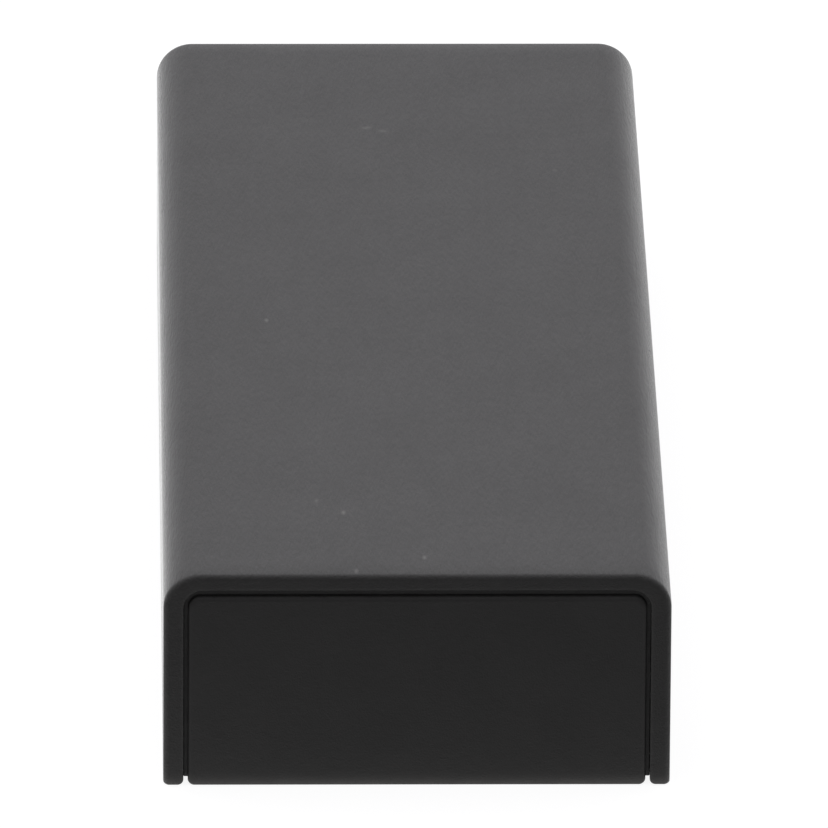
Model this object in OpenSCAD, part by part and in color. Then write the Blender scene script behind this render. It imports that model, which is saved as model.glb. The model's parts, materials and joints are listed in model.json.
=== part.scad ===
// Streaming media stick: a sleeve-shaped top cover snapped over a tray, with the circuit
// board, its shield cans and two heat spreaders clamped in between. A display plug stands
// out of the far end and a power socket opens through one long side.
// Lengths are in millimetres. The origin is on the table, under the middle of the housing.
// +Y points to the plug, +X to the power socket's side and +Z up.

/* [Housing] */
// Length of the housing without its plug
body_len = 86; // [84:1:96]
// Width across the two long sides
body_w = 30; // [30:0.5:34]
// Height from the table to the top face
body_h = 13.5; // [13.2:0.1:15]
// Radius of the two long top edges
edge_r = 2.25; // [1.8:0.05:2.6]
// Wall thickness of the top cover
wall = 1.1; // [1:0.05:1.3]
// Thickness of the tray's floor
floor_t = 1.2; // [1:0.05:1.4]
// Shadow gap between the cover and the tray
gap = 0.3; // [0.2:0.05:0.35]
// Rounding of the bottom edges on both sides of that gap
toe_r = 0.35; // [0.2:0.05:0.45]
// Rounding of the housing's outer bottom edges
foot_r = 0.15; // [0.1:0.05:0.35]

/* [Display plug] */
// How far the plug stands out of the end wall
plug_reach = 11; // [9:0.5:12]
// Width of the plug's shell
plug_w = 13.9; // [13.9:0.1:14]
// Height of the plug's shell
plug_h = 4.45; // [4.4:0.05:4.5]
// Sheet thickness of the plug's shell
plug_sheet = 0.3; // [0.25:0.05:0.35]

/* [Power socket] */
// Place of the socket along the housing, from its middle
socket_y = -14; // [-16:0.5:-13]
// Width of the socket's shell
socket_w = 7.4; // [7.4:0.05:7.5]
// Height of the socket's shell
socket_h = 2.35; // [2.3:0.05:2.4]
// Sheet thickness of the socket's shell
socket_sheet = 0.25; // [0.2:0.05:0.3]
// How far the socket's mouth sits inside the cover's side
socket_recess = 0.4; // [0.2:0.1:0.6]

/* [Board and cooling] */
// Thickness of the circuit board
board_t = 1; // [0.8:0.1:1.2]
// Thickness of the upper heat spreader
upper_plate_t = 1.2; // [1:0.1:1.4]
// Thickness of the lower heat spreader
lower_plate_t = 1; // [0.8:0.1:1.2]
// Thickness of the soft pads that carry heat to the spreaders
pad_t = 1; // [0.8:0.1:1.1]
// Sheet thickness of the shield cans
can_sheet = 0.15; // [0.1:0.05:0.2]

/* [Hidden] */
$fn = 64;
cut = 0.5;      // how far a cutting shape runs past the face that it cuts
sink = 0.1;     // how far a feature sinks into the wall that carries it
slack = 0.02;   // clearance of parts that are pushed together by hand
arc_over = 1.01;    // a soft corner's radius over its tangent radius

// Inside of the cover, and the tray that stands in it
half_len = body_len / 2;
inner_w = body_w - 2 * wall;
inner_h = body_h - wall;
tray_w = inner_w - 2 * gap;
tray_h = inner_h - gap;
rim_t = 0.9;
rim_h = 2.6;
end_plate_t = 0.4;
lip_t = 1.4;
lip_clear = 0.08;
lip_low = 0.3;
end_inside = half_len - end_plate_t - lip_t;

// Snap arms on the tray and the pockets in the cover that they catch in
snap_places = [-27, 1, 27];
snap_len = 6;
snap_z = 7.2;
snap_h = 1.4;
snap_out = 0.55;
snap_play = 0.05;
arm_over = 0.2;
pocket_depth = 0.4;
pocket_room = 0.3;

// Board, centred in height on the plug, and the pegs and posts that hold it
plug_z = body_h / 2;
board_w = tray_w - 2 * rim_t - 0.4;
board_top = plug_z + board_t / 2;
board_low = plug_z - board_t / 2;
board_near = -half_len + 3;
board_far = half_len - 3;
peg_d = 1.6;
peg_hole_d = 1.8;
peg_over = 1;
post_d = 3;
post_hole_depth = 2;
standoff_d = 3.2;
post_x = board_w / 2 - 1.8;
post_places = [for (s = [-1, 1], y = [-half_len + 11.5, half_len - 13.5]) [s * post_x, y]];

// Display plug: outline by the centres of its corners, shell, wings, insert and contacts
plug_r = 0.6;
plug_corners = shell_corners(plug_w, plug_h, plug_r, 1.4, 1.7);
plug_tip = half_len + plug_reach;
plug_back = half_len - 6.8;
plug_hole_clear = 0.2;
notch_y = half_len - 7.2;
notch_clear = 0.35;
window_y = plug_tip - 5.2;
window_len = 2.3;
wing_at = [7.9, half_len - 4.6];
wing_size = [2.5, 2.4, plug_sheet];
leg_at = [8.4, half_len - 4.6];
leg_size = [0.3, 1];
leg_slot = [0.5, 1.2];
leg_out = 0.3;
insert_recess = 0.7;
insert_slot = [11.8, 1.7];
slot_back = half_len + 1.6;
contact_pitch = 1;
contact_w = 0.4;
contact_t = 0.2;
contact_room = [0.06, 0.35];
contact_bend = 0.2;
contact_recess = 1.6;
contact_foot = 2;
upper_contacts = [for (i = [0 : 9]) (i - 4.5) * contact_pitch];
lower_contacts = [for (i = [0 : 8]) (i - 4) * contact_pitch];
foam_size = [17.4, 8];
foam_t = 1;
foam_r = 1;

// Power socket: outline, depth, lip, wings, tongue and contacts
socket_r = 0.45;
socket_corners = shell_corners(socket_w, socket_h, socket_r, 0.85, 0.75);
socket_mouth = body_w / 2 - socket_recess;
socket_back = socket_mouth - 5.2;
socket_clear = 0.2;
socket_lip = 0.35;
socket_wing_at = [socket_mouth - 3.6, 4.3];
socket_wing_size = [1.6, 1.7, socket_sheet];
socket_leg_at = [socket_mouth - 3.6, 4.5];
socket_leg_size = [1, 0.3];
socket_leg_slot = [1.2, 0.5];
tongue_block = 1.4;
tongue_w = 3.7;
tongue_z = [0.05, 0.6];
tongue_recess = 0.7;
pin_w = 0.25;
pin_t = 0.1;
pin_low = -0.05;
pin_foot = 1.2;
pin_recess = 1;
pin_channel = [4, 0.3, 0.75];
socket_pins = [for (i = [-2 : 2]) i * 0.65];

// Heights of the cooling stack above and below the board
fence_t = 0.2;
upper_can_h = 1.5;
upper_skirt = 0.9;
upper_lid_z = board_top + upper_can_h;
upper_pad_z = upper_lid_z + can_sheet;
upper_plate_z = upper_pad_z + pad_t;
lower_can_h = 1.3;
lower_skirt = 0.8;
lower_lid_z = board_low - lower_can_h;
lower_pad_z = lower_lid_z - can_sheet - pad_t;
lower_plate_z = lower_pad_z - lower_plate_t;
plate_r = 1.5;
rib_t = 0.8;
rib_len = 16;
upper_ribs = [-14, 3, 20];
lower_ribs = [-12, 2, 16];
plate_peg_over = 0.4;

// Places and sizes on the board
processor_at = [0, 12];
processor_size = [14, 14, 1];
memory_at = [0, -0.5];
memory_size = [11.5, 9, 0.9];
flash_at = [0, 5];
flash_size = [11.5, 13, 0.9];
power_chip_at = [-6.5, 22];
power_chip_size = [4.5, 4.5, 0.8];
radio_at = [0, -25];
radio_size = [6.5, 6.5, 0.85];
radio_can_size = [14, 11, 1.6];
upper_can_at = [0, 9];
upper_can_size = [21.2, 32];
lower_can_at = [0, 5];
lower_can_size = [18, 22];
upper_plate_at = [0, 2.25];
upper_plate_size = [21.2, 48.5];
lower_plate_at = [0, 2];
lower_plate_size = [20.4, 44];
upper_peg_places = [for (s = [-1, 1], y = [-19, 23.5]) [s * 9, y]];
lower_peg_places = [for (s = [-1, 1], y = [-16, 20]) [s * 8.6, y]];
crystal_places = [[8.3, 0.5], [9.2, -24]];
crystal_base = [2.5, 3.2, 0.35];
crystal_lid = [2.1, 2.8, 0.7];
inductor_places = [for (x = [-1.5, 2.5, 6.5]) [x, 22]];
inductor_size = [2.5, 2, 1.1];
inductor_end = [0.3, 1.4, 0.4];
capacitor_size = [1, 0.5, 0.5];
capacitor_places = [for (s = [-1, 1], i = [0 : 8]) [s * 8.6, 5.4 + 1.6 * i]];
surge_size = [2.5, 1, 0.55];
surge_places = [for (i = [0 : 3]) [(i - 1.5) * 3.2, half_len - 11.8]];
processor_pad_size = [12, 12];
flash_pad_size = [10, 11];
upper_pad_size = [16, 16];
lower_pad_size = [14, 16];
ground_foam_at = [7.5, -4];
ground_foam_size = [4, 3];
antenna_sheet = 0.2;
antenna_feet = [2.5, 5.5];
antenna_foot = 1;
antenna_end = 11.2;
antenna_depth = 2.2;
antenna_rise = 2.8;
antenna_drop = 1.8;

// Centres of the six corners of a connector shell: square above, narrowed below
function shell_corners(w, h, r, narrow, rise) =
    let (x = w / 2 - r, z = h / 2 - r)
    [[-x + narrow, -z], [x - narrow, -z], [x, -z + rise], [x, z], [-x, z], [-x, -z + rise]];

// Unit vector that points out of the side from a to b
function outward(a, b) = [b.y - a.y, a.x - b.x] / norm(b - a);

// Vector from a corner's centre to the sharp tip of two sides that are set off by one
function mitre(n1, n2) = (n1 + n2) / (1 + n1 * n2);

// Outline of a strip of the given thickness above a line of points
function strip(line, thick) =
    concat(line, [for (i = [len(line) - 1 : -1 : 0]) line[i] + [0, thick]]);

// A block between its lowest and its highest corner
module block(low, high) {
    translate(low) cube(high - low);
}

// A block that stands on height z, centred on a place in X and Y
module slab(at, size, z) {
    translate([at.x - size.x / 2, at.y - size.y / 2, z]) cube(size);
}

// An outline drawn in X and Z, extruded from y0 to y1
module along_y(y0, y1) {
    translate([0, y1, 0]) rotate([90, 0, 0]) linear_extrude(y1 - y0) children();
}

// An outline drawn in Y and Z, extruded from x0 to x1
module along_x(x0, x1) {
    translate([x0, 0, 0]) rotate([90, 0, 90]) linear_extrude(x1 - x0) children();
}

// A rectangle on its lower edge, with one radius for the low corners and one for the high ones
module panel(w, h, r_low, r_high) {
    translate([-w / 2, r_low]) square([w, h - r_low - r_high]);
    if (r_low > 0) translate([-w / 2 + r_low, 0]) square([w - 2 * r_low, r_low]);
    if (r_high > 0) translate([-w / 2 + r_high, h - r_high]) square([w - 2 * r_high, r_high]);
    for (s = [-1, 1]) {
        if (r_low > 0) translate([s * (w / 2 - r_low), r_low]) circle(r_low);
        if (r_high > 0) translate([s * (w / 2 - r_high), h - r_high]) circle(r_high);
    }
}

// A polygon grown by r all round, with a true arc at each corner. The arc's radius is a hair
// over r, so that it crosses its two sides at an edge instead of touching them.
module soft_polygon(corners, r) {
    count = len(corners);
    sides = [for (i = [0 : count - 1]) outward(corners[i], corners[(i + 1) % count])];
    tips = [for (i = [0 : count - 1]) mitre(sides[(i + count - 1) % count], sides[i])];
    difference() {
        polygon([for (i = [0 : count - 1]) corners[i] + tips[i] * r]);
        for (i = [0 : count - 1]) translate(corners[i]) difference() {
            polygon([[0, 0], sides[(i + count - 1) % count] * 2 * r, tips[i] * 2 * r, sides[i] * 2 * r]);
            circle(r * arc_over);
        }
    }
}

// A flat plate with round corners and a peg hole at each of the places
module plate(at, size, thick, z, places) {
    translate([0, 0, z]) difference() {
        translate([at.x, at.y - size.y / 2, 0])
            linear_extrude(thick) panel(size.x, size.y, plate_r, plate_r);
        for (p = places) translate([p.x, p.y, -cut]) cylinder(d = peg_hole_d, h = thick + 2 * cut);
    }
}

// A chip on height z: its carrier, its moulded cap and the dimple that marks its first contact.
// up is 1 on the board's upper face and -1 on its lower face.
module chip(at, size, z, up) {
    carrier_t = 0.25;
    step = 0.3;
    dimple_in = 1.1;
    dimple_d = 0.7;
    dimple_depth = 0.1;
    translate([at.x, at.y, z]) mirror([0, 0, up > 0 ? 0 : 1]) difference() {
        union() {
            slab([0, 0], [size.x, size.y, carrier_t], 0);
            slab([0, 0], [size.x - 2 * step, size.y - 2 * step, size.z], 0);
        }
        translate([dimple_in - size.x / 2, size.y / 2 - dimple_in, size.z - dimple_depth])
            cylinder(d = dimple_d, h = cut);
    }
}

// The fence of a shield can, standing on height z
module fence(at, size, h, z) {
    difference() {
        slab(at, [size.x, size.y, h], z);
        slab(at, [size.x - 2 * fence_t, size.y - 2 * fence_t, h + 2 * cut], z - cut);
    }
}

// A lid whose sheet lies on height z, with a skirt that hangs down around the fence
module can_lid(at, size, skirt, z) {
    over = 2 * (can_sheet + slack);
    difference() {
        slab(at, [size.x + over, size.y + over, skirt + can_sheet], z - skirt);
        slab(at, [size.x + 2 * slack, size.y + 2 * slack, skirt + cut], z - skirt - cut);
    }
}

// Sleeve over the top and both long sides, with posts for the board and pegs for the spreader
module top_cover() {
    color([0.12, 0.12, 0.125]) {
        difference() {
            along_y(-half_len, half_len) cover_section();
            for (s = [-1, 1], y = snap_places) snap_pocket(s, y);
            translate([0, socket_y, plug_z]) along_x(inner_w / 2 - cut, body_w / 2 + cut)
                soft_polygon(socket_corners, socket_r + socket_lip + socket_clear);
        }
        for (p = post_places) board_post(p);
        for (p = upper_peg_places) upper_peg(p);
        for (y = upper_ribs) upper_rib(y);
    }
}

// Cross-section of the sleeve: an arch with every bottom edge rounded
module cover_section() {
    difference() {
        panel(body_w, body_h, foot_r, edge_r);
        translate([0, -cut]) panel(inner_w, inner_h + cut, 0, edge_r - wall);
        for (s = [-1, 1]) inner_toe(s);
    }
}

// What is taken off the inner bottom edge of a leg to round it
module inner_toe(side) {
    translate([side * inner_w / 2, 0]) difference() {
        translate([-toe_r, -cut]) square([2 * toe_r, toe_r + cut]);
        translate([side * toe_r, toe_r]) circle(toe_r);
        translate([side > 0 ? toe_r : -2 * toe_r, -cut]) square([toe_r, toe_r + cut]);
    }
}

// Pocket in the inner face of a leg that a snap arm catches in
module snap_pocket(side, y) {
    x = side * (inner_w / 2 + pocket_depth / 2 - cut / 2);
    slab([x, y], [pocket_depth + cut, snap_len + 2 * pocket_room, snap_h + pocket_room], snap_z - snap_play);
}

// Hollow post that stands on the board and takes the tray's peg
module board_post(p) {
    translate([p.x, p.y, board_top]) difference() {
        cylinder(d = post_d, h = inner_h - board_top + cut);
        translate([0, 0, -cut]) cylinder(d = peg_hole_d, h = post_hole_depth + cut);
    }
}

// Peg that locates the upper spreader
module upper_peg(p) {
    low = upper_plate_z - plate_peg_over;
    translate([p.x, p.y, low]) cylinder(d = peg_d, h = inner_h + cut - low);
}

// Rib under the cover's top that presses on the upper spreader
module upper_rib(y) {
    low = upper_plate_z + upper_plate_t;
    slab([0, y], [rib_len, rib_t, inner_h + cut - low], low);
}

// Floor, two end walls, snap arms, board standoffs and the seats of the lower spreader
module bottom_tray() {
    color([0.1, 0.1, 0.105]) difference() {
        union() {
            tray_shell();
            for (s = [-1, 1]) end_lip(s);
            for (s = [-1, 1], y = snap_places) snap_arm(s, y);
            for (p = post_places) standoff(p);
            for (p = lower_peg_places) lower_peg(p);
            for (y = lower_ribs) lower_rib(y);
        }
        translate([0, 0, plug_z]) along_y(end_inside - cut, half_len + cut)
            soft_polygon(plug_corners, plug_r + plug_hole_clear);
    }
}

// Floor with a low rim and two end plates, round along every bottom edge
module tray_shell() {
    inside_x = tray_w / 2 - rim_t;
    inside_y = half_len - end_plate_t;
    difference() {
        intersection() {
            along_y(-half_len, half_len) panel(tray_w, tray_h, toe_r, edge_r - wall - gap);
            along_x(-tray_w, tray_w) panel(body_len, tray_h, foot_r, 0);
        }
        block([-inside_x, -inside_y, floor_t], [inside_x, inside_y, body_h]);
        block([-tray_w, -inside_y, rim_h], [tray_w, inside_y, body_h]);
    }
}

// Lip behind an end plate that the cover's end slides onto
module end_lip(side) {
    y = side * (half_len - end_plate_t - lip_t / 2);
    translate([0, y, lip_low]) along_y(-lip_t / 2, lip_t / 2)
        panel(inner_w - 2 * lip_clear, inner_h - lip_clear - lip_low, 0, edge_r - wall - lip_clear);
}

// Springy arm with a wedge that catches in the cover
module snap_arm(side, y) {
    x = tray_w / 2;
    wedge = [[x - sink, snap_z], [x + snap_out, snap_z], [x, snap_z + snap_h], [x - sink, snap_z + snap_h]];
    mirror([side > 0 ? 0 : 1, 0, 0]) translate([0, y, 0]) {
        block([x - rim_t, -snap_len / 2, floor_t - sink], [x, snap_len / 2, snap_z + snap_h + arm_over]);
        along_y(-snap_len / 2, snap_len / 2) polygon(wedge);
    }
}

// Post that carries the board, with a peg through the board's hole
module standoff(p) {
    low = floor_t - sink;
    translate([p.x, p.y, low]) {
        cylinder(d = standoff_d, h = board_low - low);
        cylinder(d = peg_d, h = board_top + peg_over - low);
    }
}

// Peg that locates the lower spreader
module lower_peg(p) {
    low = floor_t - sink;
    translate([p.x, p.y, low]) cylinder(d = peg_d, h = lower_pad_z + plate_peg_over - low);
}

// Rib on the floor that the lower spreader rests on
module lower_rib(y) {
    low = floor_t - sink;
    slab([0, y], [rib_len, rib_t, lower_plate_z - low], low);
}

// Board with notches for the plug and the socket, peg holes and slots for the shells' legs
module main_board() {
    color([0.05, 0.22, 0.12]) difference() {
        block([-board_w / 2, board_near, board_low], [board_w / 2, board_far, board_top]);
        block([-plug_w / 2 - notch_clear, notch_y, 0], [plug_w / 2 + notch_clear, half_len, body_h]);
        block([socket_back - socket_clear, socket_y - socket_w / 2 - socket_clear, 0],
              [body_w, socket_y + socket_w / 2 + socket_clear, body_h]);
        for (p = post_places) translate([p.x, p.y, 0]) cylinder(d = peg_hole_d, h = body_h);
        for (s = [-1, 1]) {
            slab([s * leg_at.x, leg_at.y], [leg_slot.x, leg_slot.y, body_h], 0);
            slab([socket_leg_at.x, socket_y + s * socket_leg_at.y],
                 [socket_leg_slot.x, socket_leg_slot.y, body_h], 0);
        }
    }
}

module processor_chip() {
    color([0.07, 0.07, 0.075]) chip(processor_at, processor_size, board_top, 1);
}

module memory_chip() {
    color([0.08, 0.08, 0.085]) chip(memory_at, memory_size, board_top, 1);
}

module flash_chip() {
    color([0.08, 0.08, 0.085]) chip(flash_at, flash_size, board_low, -1);
}

module radio_chip() {
    color([0.08, 0.08, 0.085]) chip(radio_at, radio_size, board_top, 1);
}

module power_chip() {
    color([0.08, 0.08, 0.085]) chip(power_chip_at, power_chip_size, board_top, 1);
}

// Two metal-lidded clock crystals: one beside the memory, one beside the radio
module clock_crystals() {
    color([0.75, 0.74, 0.7]) for (at = crystal_places) {
        slab(at, crystal_base, board_top);
        slab(at, crystal_lid, board_top);
    }
}

// Moulded inductors of the power supply, with a soldered end on each side
module power_inductors() {
    color([0.22, 0.22, 0.23]) for (at = inductor_places) {
        slab(at, inductor_size, board_top);
        for (s = [-1, 1]) slab(at + [s * inductor_size.x / 2, 0], inductor_end, board_top);
    }
}

// Two columns of small capacitors beside the processor
module chip_capacitors() {
    color([0.62, 0.5, 0.36]) for (at = capacitor_places) slab(at, capacitor_size, board_top);
}

// Surge protectors on the lines to the display plug
module surge_arrays() {
    color([0.1, 0.1, 0.1]) for (at = surge_places) slab(at, surge_size, board_top);
}

// Folded sheet shell with latch windows and two wings soldered to the board
module plug_shell() {
    color([0.8, 0.8, 0.78]) {
        difference() {
            translate([0, 0, plug_z]) along_y(plug_back, plug_tip) difference() {
                soft_polygon(plug_corners, plug_r);
                soft_polygon(plug_corners, plug_r - plug_sheet);
            }
            for (s = [-1, 1]) {
                slab([s * 3.5, window_y], [1.9, window_len, plug_h], plug_z);
                slab([s * 2.7, window_y], [1.5, window_len, plug_h], plug_z - plug_h);
            }
        }
        for (s = [-1, 1]) {
            slab([s * wing_at.x, wing_at.y], wing_size, board_top);
            slab([s * leg_at.x, leg_at.y], [leg_size.x, leg_size.y, board_t + leg_out + plug_sheet],
                 board_low - leg_out);
        }
    }
}

// Moulded insert with the slot for the mating tongue and a channel for each contact
module plug_insulator() {
    color([0.06, 0.06, 0.065]) translate([0, 0, plug_z]) difference() {
        along_y(plug_back, plug_tip - insert_recess)
            soft_polygon(plug_corners, plug_r - plug_sheet - slack);
        block([-insert_slot.x / 2, slot_back, -insert_slot.y / 2],
              [insert_slot.x / 2, plug_tip, insert_slot.y / 2]);
        for (x = upper_contacts) contact_channel(x, 1);
        for (x = lower_contacts) contact_channel(x, -1);
    }
}

// Channel through the insert that one contact lies in
module contact_channel(x, up) {
    size = [contact_w + contact_room.x, plug_tip - plug_back + 2 * cut, contact_t + contact_room.y];
    mirror([0, 0, up > 0 ? 0 : 1])
        slab([x, (plug_back + plug_tip) / 2], size, board_t / 2 - contact_room.x);
}

// Nineteen spring contacts in two rows, on both faces of the board's edge
module plug_contacts() {
    color([0.85, 0.68, 0.3]) translate([0, 0, plug_z]) {
        for (x = upper_contacts) plug_contact(x, 1);
        for (x = lower_contacts) plug_contact(x, -1);
    }
}

// One contact, from its pad on the board to the bend near the plug's mouth
module plug_contact(x, up) {
    z = board_t / 2;
    front = plug_tip - contact_recess;
    bend = front - 1.2;
    line = [[notch_y - contact_foot, z], [bend - 1.2, z], [bend, z - contact_bend], [front, z]];
    mirror([0, 0, up > 0 ? 0 : 1]) along_x(x - contact_w / 2, x + contact_w / 2)
        polygon(strip(line, contact_t));
}

// Foam ring that closes the end wall's hole around the plug
module plug_gasket() {
    color([0.13, 0.13, 0.13]) translate([0, 0, plug_z])
        along_y(end_inside - foam_t, end_inside) difference() {
            translate([0, -foam_size.y / 2]) panel(foam_size.x, foam_size.y, foam_r, foam_r);
            soft_polygon(plug_corners, plug_r + slack);
        }
}

// Drawn shell with a turned-out lip at its mouth and two wings soldered to the board
module power_socket_shell() {
    color([0.78, 0.78, 0.76]) {
        translate([0, socket_y, plug_z]) {
            along_x(socket_back, socket_mouth) socket_ring(socket_r);
            along_x(socket_mouth - socket_sheet, socket_mouth) socket_ring(socket_r + socket_lip);
        }
        for (s = [-1, 1]) {
            slab([socket_wing_at.x, socket_y + s * socket_wing_at.y], socket_wing_size, board_top);
            slab([socket_leg_at.x, socket_y + s * socket_leg_at.y],
                 [socket_leg_size.x, socket_leg_size.y, board_t + leg_out + socket_sheet],
                 board_low - leg_out);
        }
    }
}

// Cross-section of the socket's sheet with the given outer corner radius
module socket_ring(r) {
    difference() {
        soft_polygon(socket_corners, r);
        soft_polygon(socket_corners, socket_r - socket_sheet);
    }
}

// Moulded block at the socket's back with the tongue that carries its contacts
module power_socket_tongue() {
    front = socket_back + tongue_block;
    color([0.05, 0.05, 0.055]) translate([0, socket_y, plug_z]) difference() {
        union() {
            along_x(socket_back, front) soft_polygon(socket_corners, socket_r - socket_sheet - slack);
            block([front - sink, -tongue_w / 2, tongue_z[0]],
                  [socket_mouth - tongue_recess, tongue_w / 2, tongue_z[1]]);
        }
        for (y = socket_pins) slab([socket_back, y], pin_channel, pin_low - pin_t / 2);
    }
}

// Five contacts under the tongue, each cranked up to its pad on the board
module power_socket_contacts() {
    line = [[socket_back - pin_foot, board_t / 2], [socket_back - 0.1, board_t / 2],
            [socket_back + 0.5, pin_low], [socket_mouth - pin_recess, pin_low]];
    color([0.85, 0.68, 0.3]) translate([0, socket_y, plug_z]) for (y = socket_pins)
        translate([0, y, 0]) along_y(-pin_w / 2, pin_w / 2) polygon(strip(line, pin_t));
}

module upper_shield_frame() {
    color([0.72, 0.72, 0.7]) fence(upper_can_at, upper_can_size, upper_can_h, board_top);
}

module upper_shield_lid() {
    color([0.76, 0.76, 0.74]) can_lid(upper_can_at, upper_can_size, upper_skirt, upper_lid_z);
}

module lower_shield_frame() {
    color([0.72, 0.72, 0.7]) fence(lower_can_at, lower_can_size, lower_can_h, lower_lid_z);
}

module lower_shield_lid() {
    color([0.76, 0.76, 0.74]) translate([0, 0, lower_lid_z]) mirror([0, 0, 1])
        can_lid(lower_can_at, lower_can_size, lower_skirt, 0);
}

// Drawn one-piece can over the radio
module radio_shield() {
    thin = [2 * can_sheet, 2 * can_sheet, can_sheet - cut];
    color([0.76, 0.76, 0.74]) difference() {
        slab(radio_at, radio_can_size, board_top);
        slab(radio_at, radio_can_size - thin, board_top - cut);
    }
}

// Soft pads that carry heat from the chips to the lids and from the lids to the spreaders
module processor_pad() {
    z = board_top + processor_size.z;
    color([0.45, 0.55, 0.66])
        slab(processor_at, [processor_pad_size.x, processor_pad_size.y, upper_lid_z - z], z);
}

module flash_pad() {
    color([0.45, 0.55, 0.66])
        slab(flash_at, [flash_pad_size.x, flash_pad_size.y, lower_can_h - flash_size.z], lower_lid_z);
}

module upper_spreader_pad() {
    color([0.45, 0.55, 0.66]) slab(processor_at, [upper_pad_size.x, upper_pad_size.y, pad_t], upper_pad_z);
}

module lower_spreader_pad() {
    color([0.45, 0.55, 0.66]) slab(flash_at, [lower_pad_size.x, lower_pad_size.y, pad_t], lower_pad_z);
}

// Flat metal plates that spread the heat along the housing
module upper_heat_spreader() {
    color([0.74, 0.75, 0.76])
        plate(upper_plate_at, upper_plate_size, upper_plate_t, upper_plate_z, upper_peg_places);
}

module lower_heat_spreader() {
    color([0.74, 0.75, 0.76])
        plate(lower_plate_at, lower_plate_size, lower_plate_t, lower_plate_z, lower_peg_places);
}

// Conductive foam blocks that ground the upper spreader to the shield lid
module ground_foam() {
    color([0.3, 0.3, 0.31]) for (s = [-1, 1])
        slab([s * ground_foam_at.x, ground_foam_at.y], [ground_foam_size.x, ground_foam_size.y, pad_t],
             upper_pad_z);
}

// Stamped antenna at the near end of the board: two feet, two risers and a folded arm
module antenna(side) {
    front = board_near + 0.4;
    back = front + antenna_depth;
    low = board_top + antenna_rise;
    top = low + antenna_sheet;
    color([0.8, 0.74, 0.55]) mirror([side > 0 ? 0 : 1, 0, 0]) {
        for (x = antenna_feet) {
            block([x, back - antenna_sheet, board_top], [x + antenna_foot, back, top]);
            block([x, back - antenna_sheet, board_top],
                  [x + antenna_foot, back + antenna_foot, board_top + antenna_sheet]);
        }
        block([antenna_feet[0], front, low], [antenna_end, back, top]);
        block([antenna_end - antenna_sheet, front, low - antenna_drop], [antenna_end, back, top]);
    }
}

module antenna_left() {
    antenna(-1);
}

module antenna_right() {
    antenna(1);
}

top_cover();
bottom_tray();
main_board();
plug_shell();
plug_insulator();
plug_contacts();
plug_gasket();
power_socket_shell();
power_socket_tongue();
power_socket_contacts();
processor_chip();
memory_chip();
flash_chip();
radio_chip();
power_chip();
clock_crystals();
power_inductors();
chip_capacitors();
surge_arrays();
upper_shield_frame();
upper_shield_lid();
lower_shield_frame();
lower_shield_lid();
radio_shield();
processor_pad();
flash_pad();
upper_spreader_pad();
lower_spreader_pad();
upper_heat_spreader();
lower_heat_spreader();
ground_foam();
antenna_left();
antenna_right();
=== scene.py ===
# %% [markdown]
# # A streaming media stick
# The real object is a short black bar that hangs behind a display. A sleeve-shaped cover is snapped over a
# tray, a display plug stands out of the far end and a power socket opens through one long side. The CAD
# model already fixes every size, so Blender only has to give each piece its true edges and its finish.

import json
import math

import bmesh
import bpy
import numpy as np
from mathutils import Matrix, Vector


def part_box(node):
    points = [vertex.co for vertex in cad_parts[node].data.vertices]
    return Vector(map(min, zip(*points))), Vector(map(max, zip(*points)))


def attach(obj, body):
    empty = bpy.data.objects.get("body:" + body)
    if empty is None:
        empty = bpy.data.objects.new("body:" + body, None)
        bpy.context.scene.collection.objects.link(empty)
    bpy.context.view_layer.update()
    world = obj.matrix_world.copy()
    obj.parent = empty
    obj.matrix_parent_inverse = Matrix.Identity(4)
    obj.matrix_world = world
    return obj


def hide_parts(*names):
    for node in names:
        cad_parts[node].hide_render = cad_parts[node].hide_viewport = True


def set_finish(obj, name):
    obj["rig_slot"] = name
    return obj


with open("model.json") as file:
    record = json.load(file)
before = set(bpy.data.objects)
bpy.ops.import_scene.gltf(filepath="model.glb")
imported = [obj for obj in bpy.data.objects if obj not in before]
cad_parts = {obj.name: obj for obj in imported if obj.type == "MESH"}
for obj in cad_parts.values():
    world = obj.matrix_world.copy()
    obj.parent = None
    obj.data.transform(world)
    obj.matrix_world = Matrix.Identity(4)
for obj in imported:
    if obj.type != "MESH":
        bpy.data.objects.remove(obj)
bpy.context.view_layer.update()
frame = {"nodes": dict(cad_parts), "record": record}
nodes = frame["nodes"]
MM = 0.001

# %% [markdown]
# ## The camera
# The photograph was taken with a long lens from over a metre away, so the bar's far end is only a little
# smaller than its near end. One could drag the camera until it looks right. Here its place was worked out
# from the bar's own corners and edges instead, which brings most edges within a pixel of the photograph.

# %% Camera
IMAGE_SIZE = 828
SENSOR_WIDTH = 36.0
focal_pixels = 19390.2
camera_turn, camera_tilt, camera_roll = (math.radians(a) for a in (1.103, 22.5492, 0.3622))
camera_distance = 1185.055 * MM
camera_target = Vector((0.5376, 0.0, 5.9188)) * MM

forward = Vector((math.sin(camera_turn) * math.cos(camera_tilt),
                  math.cos(camera_turn) * math.cos(camera_tilt), -math.sin(camera_tilt)))
level = Vector((math.cos(camera_turn), -math.sin(camera_turn), 0.0))
upright = level.cross(forward)
right = level * math.cos(camera_roll) + upright * math.sin(camera_roll)
up = upright * math.cos(camera_roll) - level * math.sin(camera_roll)

lens = bpy.data.cameras.new("camera")
lens.sensor_width = SENSOR_WIDTH
lens.lens = focal_pixels * SENSOR_WIDTH / IMAGE_SIZE
lens.clip_start, lens.clip_end = 0.05, 20.0
camera = bpy.data.objects.new("camera", lens)
camera.matrix_world = Matrix.Translation(camera_target - forward * camera_distance) @ Matrix(
    (right, up, -forward)).transposed().to_4x4()
bpy.context.scene.collection.objects.link(camera)
bpy.context.scene.camera = camera
print("camera:", round(lens.lens, 1), "mm lens at", [round(v, 3) for v in camera.matrix_world.translation])

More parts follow.
